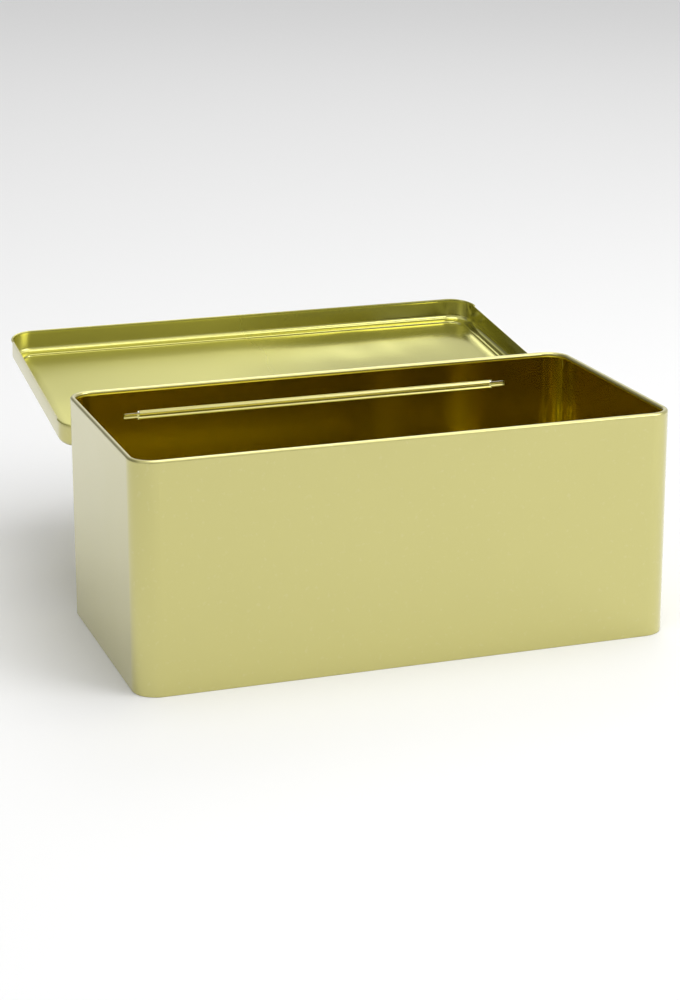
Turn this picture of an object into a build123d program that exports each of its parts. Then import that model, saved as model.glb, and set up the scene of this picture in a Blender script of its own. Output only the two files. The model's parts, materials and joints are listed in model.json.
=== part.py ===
from build123d import *
from math import acos, cos, degrees, hypot, radians, sin, sqrt
import os

# Hinged-lid storage tin of rolled tinplate, in mm, +Z up, standing on z = 0.
# X runs along the hinge, -Y is the front, +Y the hinge side. The lid is stored open.

# Box
length = 200.0              # outside, along X
width = 100.0               # outside, along Y
height = 84.0               # table to the top of the rolled rim
corner_radius = 9.0         # outside of the upright corners
sheet = 0.3                 # tinplate thickness, all pieces

# Rolled rim and bottom hem of the wall
rim_roll_radius = 1.0       # outside of the inward roll
rim_roll_gap = 0.45         # from the wall's inside to the roll's free edge
hem_gap = 0.05              # on each side of the pan's skirt, inside the hem
hem_depth = 2.2             # from the table up to the hem's free edge
hem_edge_radius = 0.35

# Side seam, a lap inside the hinge-side wall beside the left corner
seam_width = 3.0
seam_line_width = 0.25
seam_line_depth = 0.12

# Bottom pan
pan_recess = 2.5            # from the table up to the underside of the pan
pan_bend_radius = 0.6       # outside of the bend from skirt to floor
pan_field_inset = 12.0      # from the wall's outside to the raised field
pan_field_rise = 0.8
pan_field_corner = 5.0

# Hinge
hinge_offset = -1.1         # middle of the hinge from the middle of the box, along X
wire_radius = 0.65
wire_length = 153.2
wire_end_chamfer = 0.2
wire_end_play = 0.4         # beyond each end of the wire
pin_clearance = 0.05        # radial, wire to knuckle and wire to pocket
pin_below_rim = 10.7        # rim top down to the wire's axis
pin_outside_wall = 0.7      # wall's outside face out to the wire's axis
knuckle_length = 141.6
knuckle_slit_angle = 42.0    # from upright towards the wall, lid shut
slot_end_clearance = 0.8    # beyond each end of the knuckle
slot_gap = 0.15             # knuckle to the slot's upper edge and to the lip
lip_bend_radius = 1.1       # middle of the sheet
lip_end_gap = 0.3
lip_stop_gap = 0.1          # lip to the open lid's tongue
pocket_lip = 0.15           # how far the upper edge of a pocket's mouth laps the wire
scoop_radius = 0.7          # inside of the pocket's lower lobe, below the wire
scoop_drop = 0.95           # wire's axis down to the lobe's middle

# Lid
lid_swing_gap = 0.12        # front skirt's edge to the rim as the lid swings past it
lid_rest_gap = 0.4          # rim top to the shoulder's underside when shut
lid_open_angle = 172.4      # from shut to the stop
skirt_above_pin = 2.3       # wire's axis up to the skirt's edge when shut
skirt_bead_radius = 0.45
skirt_bead_end = 12.0       # bead stops this far from the lid's corner arcs, hinge side
shoulder_width = 4.0        # skirt's inside in to the raised field
shoulder_bend_radius = 2.0  # inside of the bend from skirt to shoulder
field_rise_front = 0.8
field_rise_back = 1.7
field_side_rise = 0.7       # rise of the field's sides at the shoulder
field_facet_width = 21.0    # of each side facet, at the hinge side
field_corner_radius = 6.0

# Worked out
wall_back = width / 2
pin_y = wall_back + pin_outside_wall
pin_z = height - pin_below_rim
knuckle_bore = wire_radius + pin_clearance
knuckle_radius = knuckle_bore + sheet
slot_half = knuckle_length / 2 + slot_end_clearance
slot_top = pin_z + knuckle_radius + slot_gap
pocket_mouth = 2 * (wire_radius - pocket_lip)
pocket_end = wire_length / 2 + wire_end_play
hem_width = 3 * sheet + 2 * hem_gap
lid_edge = pin_z + skirt_above_pin

# The front skirt swings about the wire, so its clearance comes from the rim's farthest corner
hinge_to_front = width + pin_outside_wall
rim_swing = hypot(hinge_to_front, height - rim_roll_radius - pin_z)
lid_clearance = sqrt((rim_swing + lid_swing_gap) ** 2 - skirt_above_pin ** 2) - hinge_to_front
skirt_inset = -lid_clearance - sheet

# The open lid's tongue leans on the slot's bent lip, so the lip reaches out that far
lip_top = pin_z - knuckle_radius - slot_gap
open_lean = radians(180 - lid_open_angle)
tongue_offset = lid_clearance + sheet - pin_outside_wall
tongue_face = pin_outside_wall - tongue_offset * cos(open_lean) + (pin_z - lip_top) * sin(open_lean)
lip_reach = tongue_face - lip_stop_gap
lip_turn = acos(1 - lip_reach / (lip_bend_radius - sheet / 2))
lip_start = lip_top - (lip_bend_radius + sheet / 2) * sin(lip_turn)
shoulder_under = height + lid_rest_gap
at_hinge = Pos(hinge_offset, 0, 0)
BIG = 4 * (length + width + height)


def block(inset, low, high):
    """Upright block on the box's rounded plan, its sides moved in by inset."""
    plan = RectangleRounded(length - 2 * inset, width - 2 * inset, corner_radius - inset)
    return Pos(0, 0, low) * extrude(plan, high - low)


def span(x, y, z):
    """Box from three (low, high) pairs."""
    size = [high - low for low, high in (x, y, z)]
    middle = [(high + low) / 2 for low, high in (x, y, z)]
    return Pos(*middle) * Box(*size)


def rod(radius, low, high):
    """Cylinder along the hinge axis from x = low to x = high."""
    return Pos((low + high) / 2, pin_y, pin_z) * Rotation(0, 90, 0) * Cylinder(radius, high - low)


def plan_path(inset, level):
    """The rounded plan as a closed path, from the middle of the front side."""
    x = length / 2 - inset
    y = width / 2 - inset
    r = corner_radius - inset
    path = Line((0, -y), (x - r, -y))
    path += JernArc((x - r, -y), (1, 0), r, 90)
    path += Line((x, -y + r), (x, y - r))
    path += JernArc((x, y - r), (0, 1), r, 90)
    path += Line((x - r, y), (-x + r, y))
    path += JernArc((-x + r, y), (-1, 0), r, 90)
    path += Line((-x, y - r), (-x, -y + r))
    path += JernArc((-x, -y + r), (0, -1), r, 90)
    path += Line((-x + r, -y), (0, -y))
    return Pos(0, 0, level) * Wire(path.edges())


def patch(u, v):
    """Rectangle from two (low, high) pairs."""
    return Pos((u[0] + u[1]) / 2, (v[0] + v[1]) / 2) * Rectangle(u[1] - u[0], v[1] - v[0])


def wall_section():
    """The formed sheet in section: u runs in from the outside face, v is the height."""
    hem = patch((0, hem_width), (0, hem_depth))
    hem = fillet(hem.vertices().group_by(Axis.Y)[0], hem_edge_radius)
    hem -= patch((sheet, hem_width - sheet), (sheet, 2 * hem_depth))
    upright = patch((0, sheet), (hem_depth / 2, height - rim_roll_radius))
    roll_centre = Pos(rim_roll_radius, height - rim_roll_radius)
    roll = roll_centre * (Circle(rim_roll_radius) - Circle(rim_roll_radius - sheet))
    open_side = (height - 2 * rim_roll_radius, height - rim_roll_radius)
    roll -= patch((0, sheet + rim_roll_gap), open_side)
    return hem + upright + roll


def lip():
    """Lower edge of the hinge slot, bent outwards; the open lid leans on it."""
    inner = lip_bend_radius - sheet / 2
    outer = lip_bend_radius + sheet / 2
    ring = Circle(outer) - Circle(inner)
    reach = 2 * outer
    sector = make_face(Polyline((0, 0), (-reach, 0), (-reach, reach), (0, reach), (0, 0)))
    sector -= Rotation(0, 0, -degrees(lip_turn)) * patch((-reach, reach), (0, 2 * reach))
    profile = Pos(wall_back - sheet / 2 + lip_bend_radius, lip_start) * (ring & sector)
    half = slot_half - lip_end_gap
    return Pos(-half, 0, 0) * extrude(Plane.YZ * profile, 2 * half)


def scoop(radius, end):
    """The pocket's lower lobe, which bares the wire's underside."""
    start = Pos(slot_half, wall_back - sheet, pin_z - scoop_drop) * Rotation(0, 90, 0)
    return start * Pos(0, 0, (end - slot_half) / 2) * Cylinder(radius, end - slot_half)


def pocket(side):
    """Half-round housing for one end of the wire, pressed out of the wall."""
    end = pocket_end + sheet
    shell = rod(knuckle_radius, slot_half, end)
    shell = fillet(shell.edges().group_by(Axis.X)[-1], knuckle_radius * 0.6)
    lobe = scoop(scoop_radius + sheet, end)
    shell += fillet(lobe.edges().group_by(Axis.X)[-1], scoop_radius)
    shell -= span((0, BIG), (-BIG, wall_back - sheet), (0, BIG))
    return shell if side > 0 else mirror(shell, about=Plane.YZ)


def pocket_hollow(side):
    """Bore for the wire's end and the opening that shows it from inside."""
    bore = rod(knuckle_bore, 0, pocket_end)
    mouth = span(
        (0, pocket_end - pocket_mouth / 2),
        (wall_back - 2 * knuckle_radius, pin_y),
        (pin_z - pocket_mouth / 2, pin_z + pocket_mouth / 2),
    )
    mouth_end = Pos(pocket_end - pocket_mouth / 2, pin_y - knuckle_radius, pin_z)
    mouth += mouth_end * Rotation(90, 0, 0) * Cylinder(pocket_mouth / 2, 2 * knuckle_radius)
    hollow = bore + mouth + scoop(scoop_radius, pocket_end)
    return hollow if side > 0 else mirror(hollow, about=Plane.YZ)


def side_seam():
    """Inner layer of the lap seam beside the left corner of the hinge-side wall."""
    left = -length / 2 + corner_radius
    inside = wall_back - sheet
    top = height - 2 * rim_roll_radius - rim_roll_gap
    return span((left, left + seam_width), (inside - sheet, inside), (pan_recess + 2 * sheet, top))


def seam_line():
    """Fine groove outside, where the seam's outer layer ends."""
    left = -length / 2 + corner_radius
    top = height - 2 * rim_roll_radius
    return span(
        (left, left + seam_line_width),
        (wall_back - seam_line_depth, wall_back + sheet),
        (hem_depth, top),
    )


def make_body_wall():
    section = Plane(origin=(0, -width / 2, 0), x_dir=(0, 1, 0), z_dir=(1, 0, 0)) * wall_section()
    wall = sweep(section, path=plan_path(0, 0))
    wall += side_seam()
    wall -= seam_line()
    slot = span(
        (-slot_half, slot_half),
        (wall_back - 3 * sheet, wall_back + sheet),
        (lip_start, slot_top),
    )
    wall -= at_hinge * slot
    wall += at_hinge * lip()
    for side in (-1, 1):
        wall += at_hinge * pocket(side)
    for side in (-1, 1):
        wall -= at_hinge * pocket_hollow(side)
    return wall


def pan_field(inset, level):
    """Low raised field with sloping sides, rising from level."""
    foot = RectangleRounded(length - 2 * inset, width - 2 * inset, pan_field_corner)
    slope = pan_field_rise
    top_size = (length - 2 * inset - 2 * slope, width - 2 * inset - 2 * slope)
    top = RectangleRounded(*top_size, pan_field_corner - slope)
    return loft([Pos(0, 0, level) * foot, Pos(0, 0, level + pan_field_rise) * top])


def make_bottom_panel():
    inset = sheet + hem_gap
    top = pan_recess + sheet
    shell = block(inset, sheet + hem_gap, top)
    shell = fillet(shell.edges().group_by(Axis.Z)[-1], pan_bend_radius)
    hollow = block(inset + sheet, 0, pan_recess)
    hollow = fillet(hollow.edges().group_by(Axis.Z)[-1], pan_bend_radius - sheet)
    pan = shell + pan_field(pan_field_inset, top)
    return pan - hollow - pan_field(pan_field_inset, pan_recess)


def make_hinge_wire():
    wire = rod(wire_radius, -wire_length / 2, wire_length / 2)
    ends = wire.edges().filter_by(GeomType.CIRCLE)
    return at_hinge * chamfer(ends, wire_end_chamfer)


def lid_field(inset, level):
    """The lid's raised field: a top that climbs towards the hinge, with a long facet each side."""
    half_x = length / 2 - inset
    half_y = width / 2 - inset
    peak = max(field_rise_front, field_rise_back)
    plan = RectangleRounded(2 * half_x, 2 * half_y, field_corner_radius)
    field = Pos(0, 0, level - sheet / 2) * extrude(plan, peak + sheet)
    front = Vector(0, -half_y, level + field_rise_front)
    back = Vector(0, half_y, level + field_rise_back)
    field = trim_above(field, front, back, Vector(1, 0, 0))
    for side in (-1, 1):
        corner = Vector(side * half_x, -half_y, level + field_side_rise)
        edge = Vector(side * half_x, half_y, level + field_side_rise)
        crease = Vector(side * (half_x - field_facet_width), half_y, level + field_rise_back)
        field = trim_above(field, corner, crease, edge - corner)
    return field


def trim_above(solid, start, end, along):
    """Cut away what lies above the plane through start and end that holds the direction along."""
    normal = (end - start).cross(along).normalized()
    if normal.Z < 0:
        normal = normal * -1
    plane = Plane(origin=start, z_dir=normal)
    return solid - plane * Pos(0, 0, BIG / 2) * Box(BIG, BIG, BIG)


def lid_pressing():
    """Skirt, shoulder and raised field, with the knuckle's tongue not yet added."""
    shell = block(skirt_inset, lid_edge, shoulder_under + sheet)
    shell = fillet(shell.edges().group_by(Axis.Z)[-1], shoulder_bend_radius + sheet)
    hollow = block(skirt_inset + sheet, lid_edge - sheet, shoulder_under)
    hollow = fillet(hollow.edges().group_by(Axis.Z)[-1], shoulder_bend_radius)
    field_inset = skirt_inset + sheet + shoulder_width
    shell += lid_field(field_inset - sheet, shoulder_under + sheet)
    hollow += lid_field(field_inset, shoulder_under)
    return shell - hollow


def skirt_bead():
    """The skirt's edge rolled shut outwards, on the front and the two sides."""
    x = length / 2 - skirt_inset
    start = Plane(origin=(0, -width / 2 + skirt_inset, lid_edge + skirt_bead_radius), z_dir=(1, 0, 0))
    path = plan_path(skirt_inset, lid_edge + skirt_bead_radius)
    bead = sweep(start * Circle(skirt_bead_radius), path=path)
    half = x - corner_radius - skirt_bead_end
    return bead - span((-half, half), (0, BIG), (0, BIG))


def knuckle():
    """Tongue of the hinge-side skirt, curled round the wire; its free edge stops short."""
    half = knuckle_length / 2
    tongue = span(
        (-half, half),
        (wall_back + lid_clearance, wall_back + lid_clearance + sheet),
        (pin_z + knuckle_bore, lid_edge + sheet),
    )
    free_edge = Pos(0, pin_y, pin_z) * Rotation(knuckle_slit_angle, 0, 0)
    slit = free_edge * span((-half, half), (-sheet / 4, sheet / 4), (0, 2 * knuckle_radius))
    return tongue + (rod(knuckle_radius, -half, half) - slit)


def make_lid():
    lid = lid_pressing() + skirt_bead() + at_hinge * knuckle()
    lid -= at_hinge * rod(knuckle_bore, -knuckle_length, knuckle_length)
    hinge = Axis((0, pin_y, pin_z), (1, 0, 0))
    return lid.rotate(hinge, -lid_open_angle)


nodes = {
    "body_wall": make_body_wall,
    "bottom_panel": make_bottom_panel,
    "hinge_wire": make_hinge_wire,
    "lid": make_lid,
}

os.makedirs("parts", exist_ok=True)
for name, make in nodes.items():
    export_step(make(), f"parts/{name}.step")
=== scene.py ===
import json
from math import cos, hypot, radians, sin

import bpy
from mathutils import Matrix, Quaternion, Vector


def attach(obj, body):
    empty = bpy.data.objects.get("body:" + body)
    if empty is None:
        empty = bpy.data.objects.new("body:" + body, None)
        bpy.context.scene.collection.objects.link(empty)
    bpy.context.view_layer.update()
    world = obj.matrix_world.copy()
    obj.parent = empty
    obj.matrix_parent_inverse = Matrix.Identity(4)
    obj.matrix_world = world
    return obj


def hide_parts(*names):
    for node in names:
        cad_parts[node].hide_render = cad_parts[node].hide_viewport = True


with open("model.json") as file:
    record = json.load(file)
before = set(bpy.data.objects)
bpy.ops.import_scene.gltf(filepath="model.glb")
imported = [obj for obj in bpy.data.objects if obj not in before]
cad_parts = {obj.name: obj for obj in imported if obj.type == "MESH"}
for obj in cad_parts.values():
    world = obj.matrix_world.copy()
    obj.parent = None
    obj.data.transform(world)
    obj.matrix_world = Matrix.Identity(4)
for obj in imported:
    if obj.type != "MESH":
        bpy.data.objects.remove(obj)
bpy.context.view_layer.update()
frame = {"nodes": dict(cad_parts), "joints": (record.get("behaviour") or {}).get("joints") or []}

scene = bpy.context.scene
bpy.ops.object.select_all(action="DESELECT")


# Body wall.
# One strip of tinplate, lacquered gold all over: satin outside, brighter inside where the rollers
# left it smooth. It is wrapped round four corners, lapped at the back, and rolled inwards at the rim.

class Sock:
    """A shader socket that takes part in sums, with one call for any other node."""

    def __init__(self, tree, socket):
        self.tree = tree
        self.socket = socket

    def node(self, kind, settings=None, output=0, **values):
        made = self.tree.nodes.new("ShaderNode" + kind)
        for name, value in (settings or {}).items():
            setattr(made, name, value)
        for name, value in values.items():
            key = int(name[1:]) if name[0] == "_" else name.replace("_", " ")
            if isinstance(value, Sock):
                self.tree.links.new(value.socket, made.inputs[key])
            else:
                made.inputs[key].default_value = value
        return Sock(self.tree, made.outputs[output])

    def maths(self, operation, *others):
        values = {f"_{i}": value for i, value in enumerate((self,) + others)}
        return self.node("Math", {"operation": operation}, **values)

    def __add__(self, other):
        return self.maths("ADD", other)

    def __sub__(self, other):
        return self.maths("SUBTRACT", other)

    def __rsub__(self, other):
        return self.maths("MULTIPLY_ADD", -1.0, other)

    def __mul__(self, other):
        return self.maths("MULTIPLY", other)

    def __gt__(self, other):
        return self.maths("GREATER_THAN", other)

    def axis(self, name):
        return self.node("SeparateXYZ", output="XYZ".index(name), Vector=self)

    def between(self, low, high):
        """0 below low, 1 above high, and a smooth step from one to the other."""
        settings = {"interpolation_type": "SMOOTHSTEP"}
        return self.node("MapRange", settings, _0=self, _1=low, _2=high, _3=0.0, _4=1.0)

    def blend(self, low, high):
        """The colour low where this is 0, high where it is 1."""
        return self.node("Mix", {"data_type": "RGBA"}, 2, _0=self, _6=low, _7=high)


def new_material(name):
    material = bpy.data.materials.new(name)
    material.use_nodes = True
    tree = material.node_tree
    shader = tree.nodes["Principled BSDF"]
    place = Sock(tree, tree.nodes.new("ShaderNodeTexCoord").outputs["Object"])
    return material, shader, place


def feed(shader, **values):
    for name, value in values.items():
        socket = shader.inputs[name.replace("_", " ")]
        if isinstance(value, Sock):
            value.tree.links.new(value.socket, socket)
        else:
            socket.default_value = value


PALE_GOLD = (0.585, 0.545, 0.205, 1)
WORN_GOLD = (0.640, 0.600, 0.290, 1)
DEEP_GOLD = (0.690, 0.618, 0.120, 1)
LID_GOLD = (0.535, 0.515, 0.170, 1)


def gold_lacquer(name, inside, inside_gold, inside_rough=lambda place: 0.085):
    """Tinplate under gold lacquer. inside(place) is 1 on the smooth, deeper coloured face."""
    material, shader, place = new_material(name)
    bright = inside(place)
    cloud = place.node("TexNoise", Vector=place, Scale=24.0, Detail=3.0)
    slow = place.node("TexNoise", Vector=place, Scale=9.0, Detail=1.0)
    peel = place.node("TexNoise", Vector=place, Scale=2100.0, Detail=2.0)
    rub = place.node("TexNoise", Vector=place, Scale=520.0, Detail=2.0).between(0.60, 0.72)
    satin = cloud * 0.07 + rub * 0.05 + 0.29
    glossy = cloud * 0.05 + inside_rough(place)
    roughness = satin + (glossy - satin) * bright
    ripple = slow * 0.9 + peel * 0.012 * (1.0 - bright * 0.8)
    bump = place.node("Bump", Height=ripple, Strength=0.5, Distance=0.0012)
    gold = (rub * 0.35).blend(PALE_GOLD, WORN_GOLD)
    gold = bright.blend(gold, inside_gold)
    feed(shader, Metallic=1.0, Normal=bump, Base_Color=gold, Roughness=roughness)
    feed(shader, Coat_Weight=1.0 - bright, Coat_Roughness=0.16, Coat_IOR=1.45)
    return material


half_length, half_width, height = 0.100, 0.050, 0.084
corner, sheet = 0.009, 0.0003
rim_depth = 0.002


def within_wall(place):
    """1 on the wall's inner face, below the rolled rim."""
    across = (place.axis("X").maths("ABSOLUTE") - (half_length - corner)).maths("MAXIMUM", 0.0)
    along = (place.axis("Y").maths("ABSOLUTE") - (half_width - corner)).maths("MAXIMUM", 0.0)
    reach = (across * across + along * along).maths("SQRT")
    deep = (corner - sheet / 2) - reach
    return (deep > 0.0) * (height - rim_depth - place.axis("Z") > 0.0)


wall = frame["nodes"]["body_wall"]
wall.data.materials.clear()
wall.data.materials.append(gold_lacquer("lacquered_wall", within_wall, DEEP_GOLD))


# Bottom panel.
# A shallow pan pressed from the same sheet, dropped in and held by the wall's hem.
# Its upper face shows inside the tin, and its underside is raised clear of the table.

panel_underside = 0.0026


def above_panel(place):
    return place.axis("Z") > panel_underside


bottom = frame["nodes"]["bottom_panel"]
bottom.data.materials.clear()
bottom.data.materials.append(gold_lacquer("lacquered_bottom", above_panel, DEEP_GOLD))


# Hinge wire.
# Straight drawn steel wire, tinned bright, cut to length and held by its two ends in the wall's pockets.

wire_metal, shader, place = new_material("tinned_wire")
drawn = place.node("Mapping", Vector=place, Scale=(60.0, 2600.0, 2600.0))
streak = drawn.node("TexNoise", Vector=drawn, Scale=1.0, Detail=2.0)
bump = streak.node("Bump", Height=streak, Strength=0.25, Distance=0.00004)
tin = streak.between(0.35, 0.65).blend((0.62, 0.61, 0.58, 1), (0.80, 0.79, 0.76, 1))
feed(shader, Metallic=1.0, Normal=bump, Base_Color=tin, Roughness=streak * 0.12 + 0.10)
wire = frame["nodes"]["hinge_wire"]
wire.data.materials.clear()
wire.data.materials.append(wire_metal)


# Lid.
# One pressing: a raised field that climbs towards the hinge between two long facets, a shoulder,
# a rounded bend and a skirt whose edge is curled outwards. Thin enough that the field has sprung
# into shallow waves, and one corner beside the hinge has been knocked out of true.

hinge = frame["joints"][0]
pin = Vector(hinge["pos_m"])
open_angle = radians(hinge["range_deg"][1])
fit_gap, rest_gap, foot_above_pin = 0.00056, 0.0004, 0.0023
skirt_x, skirt_y, skirt_corner = (size + fit_gap + sheet for size in (half_length, half_width, corner))
skirt_foot = pin.z + foot_above_pin
skirt_depth = height + rest_gap + sheet - skirt_foot
shoulder = 0.0040
field_side, field_front, field_back = 0.0007, 0.0008, 0.0017
facet = 0.021
curl_path, curl_middle = 0.00015, 0.00045


def edit(piece, kind):
    bpy.ops.object.select_all(action="DESELECT")
    piece.select_set(True)
    bpy.context.view_layer.objects.active = piece
    bpy.ops.object.mode_set(mode="EDIT")
    bpy.ops.mesh.select_mode(type=kind)
    bpy.ops.mesh.select_all(action="DESELECT")


def pick(piece, kind, wanted):
    """Select the vertices, edges or faces for which wanted(x, y, z) holds at their middle."""
    bpy.ops.object.mode_set(mode="OBJECT")
    mesh = piece.data
    points = [v.co for v in mesh.vertices]
    for group in (mesh.vertices, mesh.edges, mesh.polygons):
        group.foreach_set("select", [False] * len(group))
    if kind == "VERT":
        for vertex in mesh.vertices:
            vertex.select = wanted(*vertex.co)
    if kind == "EDGE":
        for line in mesh.edges:
            line.select = wanted(*((points[line.vertices[0]] + points[line.vertices[1]]) / 2))
    if kind == "FACE":
        for polygon in mesh.polygons:
            polygon.select = wanted(*polygon.center)
    bpy.ops.object.mode_set(mode="EDIT")
    bpy.ops.mesh.select_mode(type=kind)


def step(out, rise, half):
    """Carry the selected cap one ring further: out is its sideways step, rise its step upwards."""
    if out <= -0.00001:
        bpy.ops.mesh.inset(thickness=-out, depth=rise)
    else:
        bpy.ops.mesh.extrude_region_move(TRANSFORM_OT_translate={"value": (0, 0, rise)})
        grow = (1 + out / half[0], 1 + out / half[1], 1)
        bpy.ops.transform.resize(value=grow, center_override=(0, 0, 0))
    return half[0] + out, half[1] + out


profile = [
    (curl_path * cos(radians(a)), curl_middle + curl_path * sin(radians(a)))
    for a in (90, 45, 0, -45, -90, -135, -180)
]
profile += [(-0.00012, 0.0008), (-0.00004, 0.0011), (0.0, 0.0015), (0.0, 0.0040)]
bend = 0.0023
profile += [
    (bend * (cos(radians(a)) - 1), skirt_depth - bend + bend * sin(radians(a)))
    for a in (0, 12, 24, 36, 48, 60, 72, 81, 90)
]
profile += [(-shoulder + 0.00012, skirt_depth), (-shoulder, skirt_depth + 0.00008)]
profile += [(-shoulder - 0.0001, skirt_depth + field_side - 0.0002)]
profile += [(-shoulder - 0.0004, skirt_depth + field_side)]

start_out, start_up = profile[0]
bpy.ops.mesh.primitive_plane_add(size=2, location=(0, 0, skirt_foot + start_up))
lid = bpy.context.object
lid.name = "lid_pressing"
bpy.ops.object.transform_apply(location=True)
edit(lid, "VERT")
bpy.ops.mesh.select_all(action="SELECT")
half = (skirt_x + start_out, skirt_y + start_out)
bpy.ops.transform.resize(value=(half[0], half[1], 1), center_override=(0, 0, 0))
bpy.ops.mesh.bevel(offset=skirt_corner, segments=20, affect="VERTICES")
bpy.ops.mesh.select_mode(type="FACE")
bpy.ops.mesh.select_all(action="SELECT")
for (out, up), (next_out, next_up) in zip(profile, profile[1:]):
    half = step(next_out - out, next_up - up, half)

# The curl stops beside the hinge, where the skirt's edge is plain.
bare = skirt_x - skirt_corner - 0.012
foot = skirt_foot + 0.0012
bpy.ops.mesh.select_mode(type="FACE")
bpy.ops.mesh.select_all(action="SELECT")
for x in (-bare, bare):
    bpy.ops.mesh.bisect(plane_co=(x, 0, 0), plane_no=(1, 0, 0))
    bpy.ops.mesh.select_all(action="SELECT")
pick(lid, "FACE", lambda x, y, z: y > skirt_y - 0.001 and abs(x) < bare and z < foot)
bpy.ops.mesh.delete(type="FACE")
pick(lid, "FACE", lambda x, y, z: z < skirt_foot + start_up + 0.00001 and abs(y) < skirt_y - 0.02)
bpy.ops.mesh.delete(type="FACE")

# The field's top is cut into a fine grid, and along its two creases, so that it can be dished.
field_top = skirt_foot + skirt_depth + field_side
field_x, field_y = half
on_field = lambda x, y, z: z > field_top - 0.00005
crease_run = Vector((facet, -2 * field_y, 0)).normalized()
cuts = [((x / 1000, 0, 0), (1, 0, 0)) for x in range(-92, 94, 4)]
cuts += [((0, y / 1000, 0), (0, 1, 0)) for y in range(-44, 46, 4)]
for side in (-1, 1):
    for shift in (-0.0007, 0.0, 0.0007):
        place_on_crease = (side * (field_x - facet) + shift, field_y, 0)
        across_crease = (2 * field_y, -side * facet, 0)
        cuts.append((place_on_crease, across_crease))
for middle, normal in cuts:
    pick(lid, "FACE", on_field)
    bpy.ops.mesh.bisect(plane_co=middle, plane_no=normal)


def field_height(x, y):
    """The wedge: lowest of the middle plane and the two facets, in metres above the shoulder."""
    back = (y + field_y) / (2 * field_y)
    middle = field_front + (field_back - field_front) * back
    crease = field_x - facet * back
    if abs(x) <= crease:
        return middle
    down = (abs(x) - crease) / max(facet * back, 0.0001)
    return middle + (field_side - middle) * min(down, 1.0)


bpy.ops.object.mode_set(mode="OBJECT")
for vertex in lid.data.vertices:
    x, y, z = vertex.co
    inner = min(field_x - abs(x), field_y - abs(y))
    if z > field_top - 0.00005 and inner > -0.00001:
        lift = field_height(x, y) - field_side
        vertex.co.z += lift * min(max(inner, 0.0) / 0.0004, 1.0)

lacquer_out = gold_lacquer("lacquered_lid", lambda place: place.axis("Z") * 0.0, LID_GOLD)
matt_to_bright = lambda place: (1.0 - place.axis("X").between(-0.02, 0.05)) * 0.16 + 0.12
lacquer_in = gold_lacquer(
    "lacquered_lid_inside", lambda place: place.axis("Z") * 0.0 + 1.0, LID_GOLD, matt_to_bright
)
lid.data.materials.append(lacquer_out)
lid.data.materials.append(lacquer_in)


def press(piece, centre, push, size):
    """Push the spot nearest centre, and what lies within size of it, by push."""
    near = min((Vector(centre) - v.co).length for v in piece.data.vertices)
    pick(piece, "VERT", lambda x, y, z: (Vector(centre) - Vector((x, y, z))).length < near + 0.0006)
    bpy.ops.transform.translate(
        value=push,
        use_proportional_edit=True,
        proportional_edit_falloff="SMOOTH",
        proportional_size=size,
    )


edit(lid, "VERT")
for x, y, push, size in (
    (0.022, -0.010, 0.0015, 0.044),
    (0.060, -0.013, 0.0015, 0.038),
    (-0.045, -0.004, 0.0004, 0.060),
    (-0.030, 0.018, -0.0004, 0.018),
    (0.044, -0.024, -0.0002, 0.016),
    (0.070, -0.030, 0.0001, 0.012),
):
    press(lid, (x, y, field_top + 0.0006), (0, 0, push), size)
corner_spot = (-skirt_x + 0.003, skirt_y - 0.003, skirt_foot + skirt_depth)
press(lid, corner_spot, (0.0, 0.0, 0.0011), 0.050)
bpy.ops.object.mode_set(mode="OBJECT")

wall_of_sheet = lid.modifiers.new("sheet", "SOLIDIFY")
wall_of_sheet.thickness = sheet
wall_of_sheet.offset = -1
wall_of_sheet.material_offset = 1
bpy.ops.object.modifier_apply(modifier="sheet")


def swing_open(piece):
    """Turn a piece made in its shut place about the hinge wire to where it rests open."""
    bpy.ops.object.select_all(action="DESELECT")
    piece.select_set(True)
    bpy.context.view_layer.objects.active = piece
    piece.data.transform(Matrix.Translation(-pin - piece.location))
    piece.location = pin
    piece.rotation_euler = (-open_angle, 0, 0)
    bpy.ops.object.transform_apply(location=True, rotation=True, scale=True)
    bpy.ops.object.shade_smooth_by_angle(angle=radians(35))


swing_open(lid)
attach(lid, "lid")
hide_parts("lid")


# Hinge knuckle.
# A tongue of the lid's own skirt, curled round the wire inside the wall's slot and left with a thin
# slit where its free edge stops. Its inner side is pressed a little flat.

hinge_middle, knuckle_length = -0.0011, 0.1416
knuckle_radius, flat_reach = 0.0010, 0.00086
tongue_half, tongue_foot = 0.0014, pin.z + 0.0001
bpy.ops.mesh.primitive_cylinder_add(
    vertices=36, radius=knuckle_radius, depth=knuckle_length, end_fill_type="NOTHING",
    location=(hinge_middle, pin.y, pin.z), rotation=(0, radians(90), 0),
)
knuckle = bpy.context.object
knuckle.name = "hinge_knuckle"
bpy.ops.object.transform_apply(location=True, rotation=True, scale=True)
edit(knuckle, "FACE")
slit = radians(42)
slit_y = pin.y - sin(slit) * knuckle_radius
slit_z = pin.z + cos(slit) * knuckle_radius
pick(knuckle, "FACE", lambda x, y, z: hypot(y - slit_y, z - slit_z) < 0.00009)
bpy.ops.mesh.delete(type="FACE")

# Open, the flat faces the mouth of the tin, 48 degrees above level.
flat_turn = open_angle + radians(48)
flat_normal = Vector((0, -cos(flat_turn), sin(flat_turn)))
bpy.ops.mesh.select_all(action="SELECT")
bpy.ops.mesh.bisect(plane_co=pin + flat_normal * flat_reach, plane_no=flat_normal, clear_outer=True)
on_flat = lambda x, y, z: abs((Vector((0, y, z)) - pin).dot(flat_normal) - flat_reach) < 0.00001
pick(knuckle, "EDGE", on_flat)
bpy.ops.mesh.edge_face_add()
bpy.ops.object.mode_set(mode="OBJECT")

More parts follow.
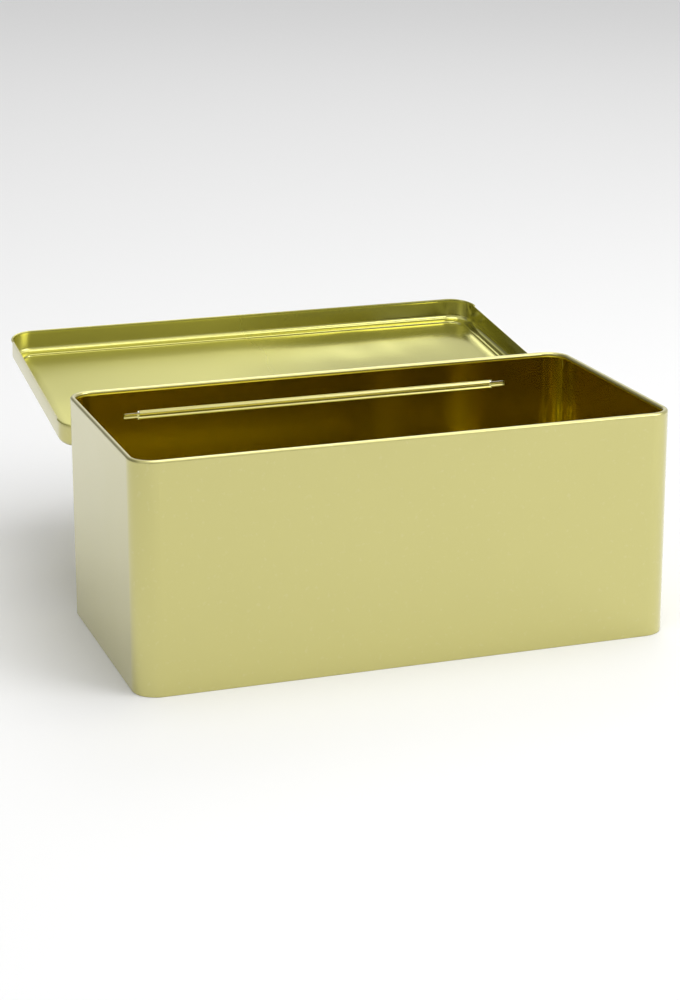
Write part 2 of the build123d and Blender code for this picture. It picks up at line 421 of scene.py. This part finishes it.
# The tongue runs down from the skirt and meets the knuckle at its outermost line.
tongue_centre = (hinge_middle, skirt_y, 0)
bpy.ops.mesh.primitive_plane_add(size=2, location=tongue_centre, rotation=(radians(-90), 0, 0))
tongue = bpy.context.object
tongue.name = "hinge_tongue"
bpy.ops.object.transform_apply(location=True, rotation=True, scale=True)
edit(tongue, "VERT")
bpy.ops.mesh.select_all(action="SELECT")
bpy.ops.transform.resize(value=(knuckle_length / 2, 1, tongue_half), center_override=tongue_centre)
bpy.ops.transform.translate(value=(0, 0, tongue_foot + tongue_half))
bpy.ops.object.mode_set(mode="OBJECT")

for piece in (knuckle, tongue):
    bpy.ops.object.select_all(action="DESELECT")
    piece.select_set(True)
    bpy.context.view_layer.objects.active = piece
    wall_of_sheet = piece.modifiers.new("sheet", "SOLIDIFY")
    wall_of_sheet.thickness = sheet / 2
    wall_of_sheet.offset = -1
    bpy.ops.object.modifier_apply(modifier="sheet")
    piece.data.materials.append(lacquer_out)
    swing_open(piece)
    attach(piece, "lid")


# Table.
# A plain pale sheet of paper for the tin to stand on, seen, lit and mirrored like any other surface.

bpy.ops.mesh.primitive_plane_add(size=30.0, location=(0, 0, 0))
floor = bpy.context.object
floor.name = "floor"
paper, shader, place = new_material("floor_paper")
feed(shader, Base_Color=(0.85, 0.85, 0.85, 1), Roughness=0.9, Specular_IOR_Level=0.2)
floor.data.materials.append(paper)


# Light.
# A pale studio all round, dimmer behind on the left, on the right and low in front.
# Soft boxes hang above, stand at the right in front, and stand behind.

world = bpy.data.worlds.new("studio")
scene.world = world
world.use_nodes = True
sky = world.node_tree
around = Sock(sky, sky.nodes.new("ShaderNodeTexCoord").outputs["Generated"])
behind_left = (around.axis("Y") * 0.6 - around.axis("X") * 0.8).between(0.35, 0.8)
right = around.axis("X").between(0.2, 0.9)
tone = right.blend((1.0, 1.0, 1.0, 1), (0.75, 0.75, 0.75, 1))
tone = behind_left.blend(tone, (0.30, 0.30, 0.30, 1))
low_front = (0.0 - around.axis("Y")).between(0.5, 0.8) * (1.0 - around.axis("Z").between(0.3, 0.6))
tone = low_front.blend(tone, (0.62, 0.62, 0.62, 1))
sky.links.new(tone.socket, sky.nodes["Background"].inputs["Color"])
sky.nodes["Background"].inputs["Strength"].default_value = 0.85


def softbox(name, centre, aim, size, power):
    light = bpy.data.lights.new(name, "AREA")
    light.shape = "RECTANGLE"
    light.size, light.size_y = size
    light.energy = power
    lamp = bpy.data.objects.new(name, light)
    lamp.location = centre
    lamp.rotation_euler = (Vector(aim) - Vector(centre)).to_track_quat("-Z", "Y").to_euler()
    scene.collection.objects.link(lamp)


softbox("key_softbox", (1.0, -0.9, 0.9), (0, 0, 0), (0.9, 0.9), 10.0)
softbox("top_softbox", (0.12, -0.12, 1.2), (0, 0, 0), (1.0, 0.6), 4.5)
softbox("back_softbox", (0.66, 1.40, 1.56), (0, 0.1, 0.07), (0.80, 0.74), 3.6)


# Camera.
# Eye height a little above the rim, from the front left, with a long lens.

camera_data = bpy.data.cameras.new("camera")
camera = bpy.data.objects.new("camera", camera_data)
scene.collection.objects.link(camera)
camera.location = (-0.2815, -0.7814, 0.3024)
look = Vector((0.3072, 0.9154, -0.2603))
camera.rotation_mode = "QUATERNION"
camera.rotation_quaternion = look.to_track_quat("-Z", "Y") @ Quaternion((0, 0, 1), radians(-0.21))
camera_data.lens = 85.1
camera_data.shift_x = 0.0245
camera_data.shift_y = -0.0837
scene.camera = camera
scene.view_settings.view_transform = "Standard"
scene.cycles.glossy_bounces = 12
